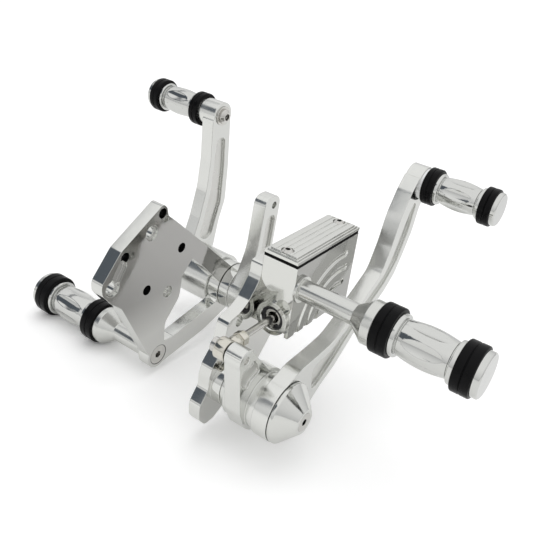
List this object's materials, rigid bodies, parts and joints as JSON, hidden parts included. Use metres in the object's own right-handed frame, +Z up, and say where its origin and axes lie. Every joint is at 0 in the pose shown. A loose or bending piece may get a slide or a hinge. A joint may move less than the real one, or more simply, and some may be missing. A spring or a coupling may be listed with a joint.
{
  "type": "motorcycle forward controls",
  "caption": "Polished aluminium forward foot controls: plates with ringed foot pegs, a shift lever with linkage arm, and a brake lever that works a master cylinder.",
  "frame": {"origin": "centre of the shift plate's four frame bolts, on the plate's inboard face", "axes": "+X to the rider's right, along the foot pegs and pivots; +Y forward; +Z up, square to the reservoir cover"},
  "size_m": [0.4174, 0.2427, 0.2116],
  "materials": {
    "plate_aluminium": "satin face with polished edges",
    "lever_aluminium": "polished, with fine milling lines",
    "block_aluminium": "polished billet with ball-milled arcs",
    "peg_aluminium": "bright turned and polished",
    "screw_steel": "bright zinc",
    "black_steel": "black phosphate",
    "nickel_brass": "dull nickel over brass",
    "bush_bronze": "turned bronze",
    "ring_rubber": "moulded, semi-matt",
    "seal_rubber": "matt"
  },
  "bodies": {
    "brackets": {"left_plate": "plate_aluminium", "right_plate": "plate_aluminium", "shift_bush": "bush_bronze", "left_footpeg_stem": "peg_aluminium", "left_footpeg_screw": "screw_steel", "left_footpeg_body": "peg_aluminium", "left_footpeg_ring_inner": "ring_rubber", "left_footpeg_ring_outer": "ring_rubber", "left_footpeg_cap": "peg_aluminium", "master_cylinder": "block_aluminium", "reservoir_gasket": "seal_rubber", "reservoir_cover": "block_aluminium", "cover_screws": "screw_steel", "bore_washer": "black_steel", "circlip": "black_steel", "brake_shaft": "screw_steel", "brake_spacer": "lever_aluminium", "hub_cone": "lever_aluminium", "hub_cone_screw": "screw_steel", "cylinder_screws": "screw_steel", "right_footpeg_stem": "peg_aluminium", "right_footpeg_body": "peg_aluminium", "right_footpeg_ring_inner": "ring_rubber", "right_footpeg_ring_outer": "ring_rubber", "right_footpeg_cap": "peg_aluminium"},
    "shift": {"shift_lever": "lever_aluminium", "linkage_arm": "lever_aluminium", "shift_shaft": "screw_steel", "shift_spacer": "lever_aluminium", "linkage_washer": "screw_steel", "linkage_screw": "screw_steel", "shift_peg_body": "peg_aluminium", "shift_peg_ring_inner": "ring_rubber", "shift_peg_ring_outer": "ring_rubber", "shift_peg_cap": "peg_aluminium", "shift_peg_washer": "screw_steel", "shift_peg_screw": "screw_steel"},
    "brake": {"brake_arm": "lever_aluminium", "brake_lever": "lever_aluminium", "lever_dowels": "screw_steel", "brake_bushes": "bush_bronze", "rod_bolt": "screw_steel", "brake_peg_body": "peg_aluminium", "brake_peg_ring_inner": "ring_rubber", "brake_peg_ring_outer": "ring_rubber", "brake_peg_cap": "peg_aluminium", "brake_peg_washer": "peg_aluminium", "brake_peg_screw": "screw_steel"},
    "piston": {"brake_piston": "screw_steel", "piston_cup": "seal_rubber", "piston_spring": "screw_steel"},
    "push_rod": {"push_rod": "screw_steel", "lock_nut": "nickel_brass", "rod_end": "nickel_brass"}
  },
  "joints": [
    {"name": "shift_pivot", "type": "hinge", "parent": "brackets", "child": "shift", "pos_m": [-0.006, 0.1095, -0.075], "axis": [1, 0, 0], "range_deg": [-15, 15]},
    {"name": "brake_pivot", "type": "hinge", "parent": "brackets", "child": "brake", "pos_m": [0.114, -0.002, -0.078], "axis": [1, 0, 0], "range_deg": [-12, 0]},
    {"name": "piston_slide", "type": "slide", "parent": "brackets", "child": "piston", "axis": [0, 1, 0], "range_m": [0, 0.01112], "deforming": ["piston_spring"]},
    {"name": "rod_pivot", "type": "hinge", "parent": "brake", "child": "push_rod", "pos_m": [0.10075, -0.0305, -0.027], "axis": [1, 0, 0], "range_deg": [-0.1, 8.1]}
  ],
  "couplings": [
    {"joint": "piston_slide", "follows": "brake_pivot", "m_per_rad": -0.05278},
    {"joint": "rod_pivot", "follows": "brake_pivot", "ratio": -0.6614}
  ]
}
